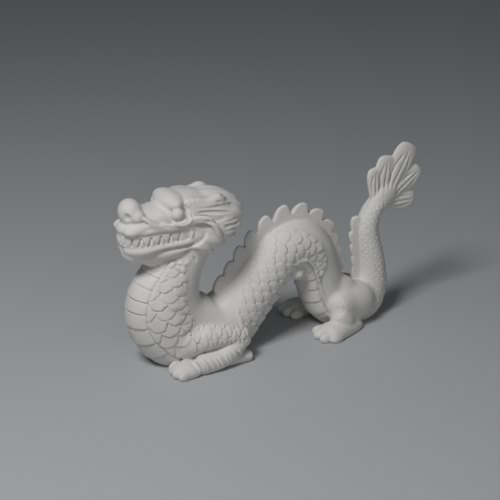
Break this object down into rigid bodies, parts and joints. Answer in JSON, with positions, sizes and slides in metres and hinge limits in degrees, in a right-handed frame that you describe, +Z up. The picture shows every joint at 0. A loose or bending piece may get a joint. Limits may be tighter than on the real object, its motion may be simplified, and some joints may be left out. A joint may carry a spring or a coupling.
{
  "type": "dragon figurine",
  "caption": "Unglazed ceramic figurine of a long-bodied, scaled dragon with an arched back, toothed fin, open fanged mouth, clawed feet and a raised tail that ends in a leafy fan.",
  "frame": {"origin": "middle of the box around the figurine, on the plane that it stands on", "axes": "+Z up, the length along X with the head toward -X and the tail toward +X, the mirror plane of the body at Y = 0"},
  "size_m": [0.2844, 0.0862, 0.1476],
  "materials": {
    "bisque": "unglazed white bisque, matte, faintly granular"
  },
  "bodies": {
    "root": {"dragon": "bisque"}
  },
  "joints": []
}
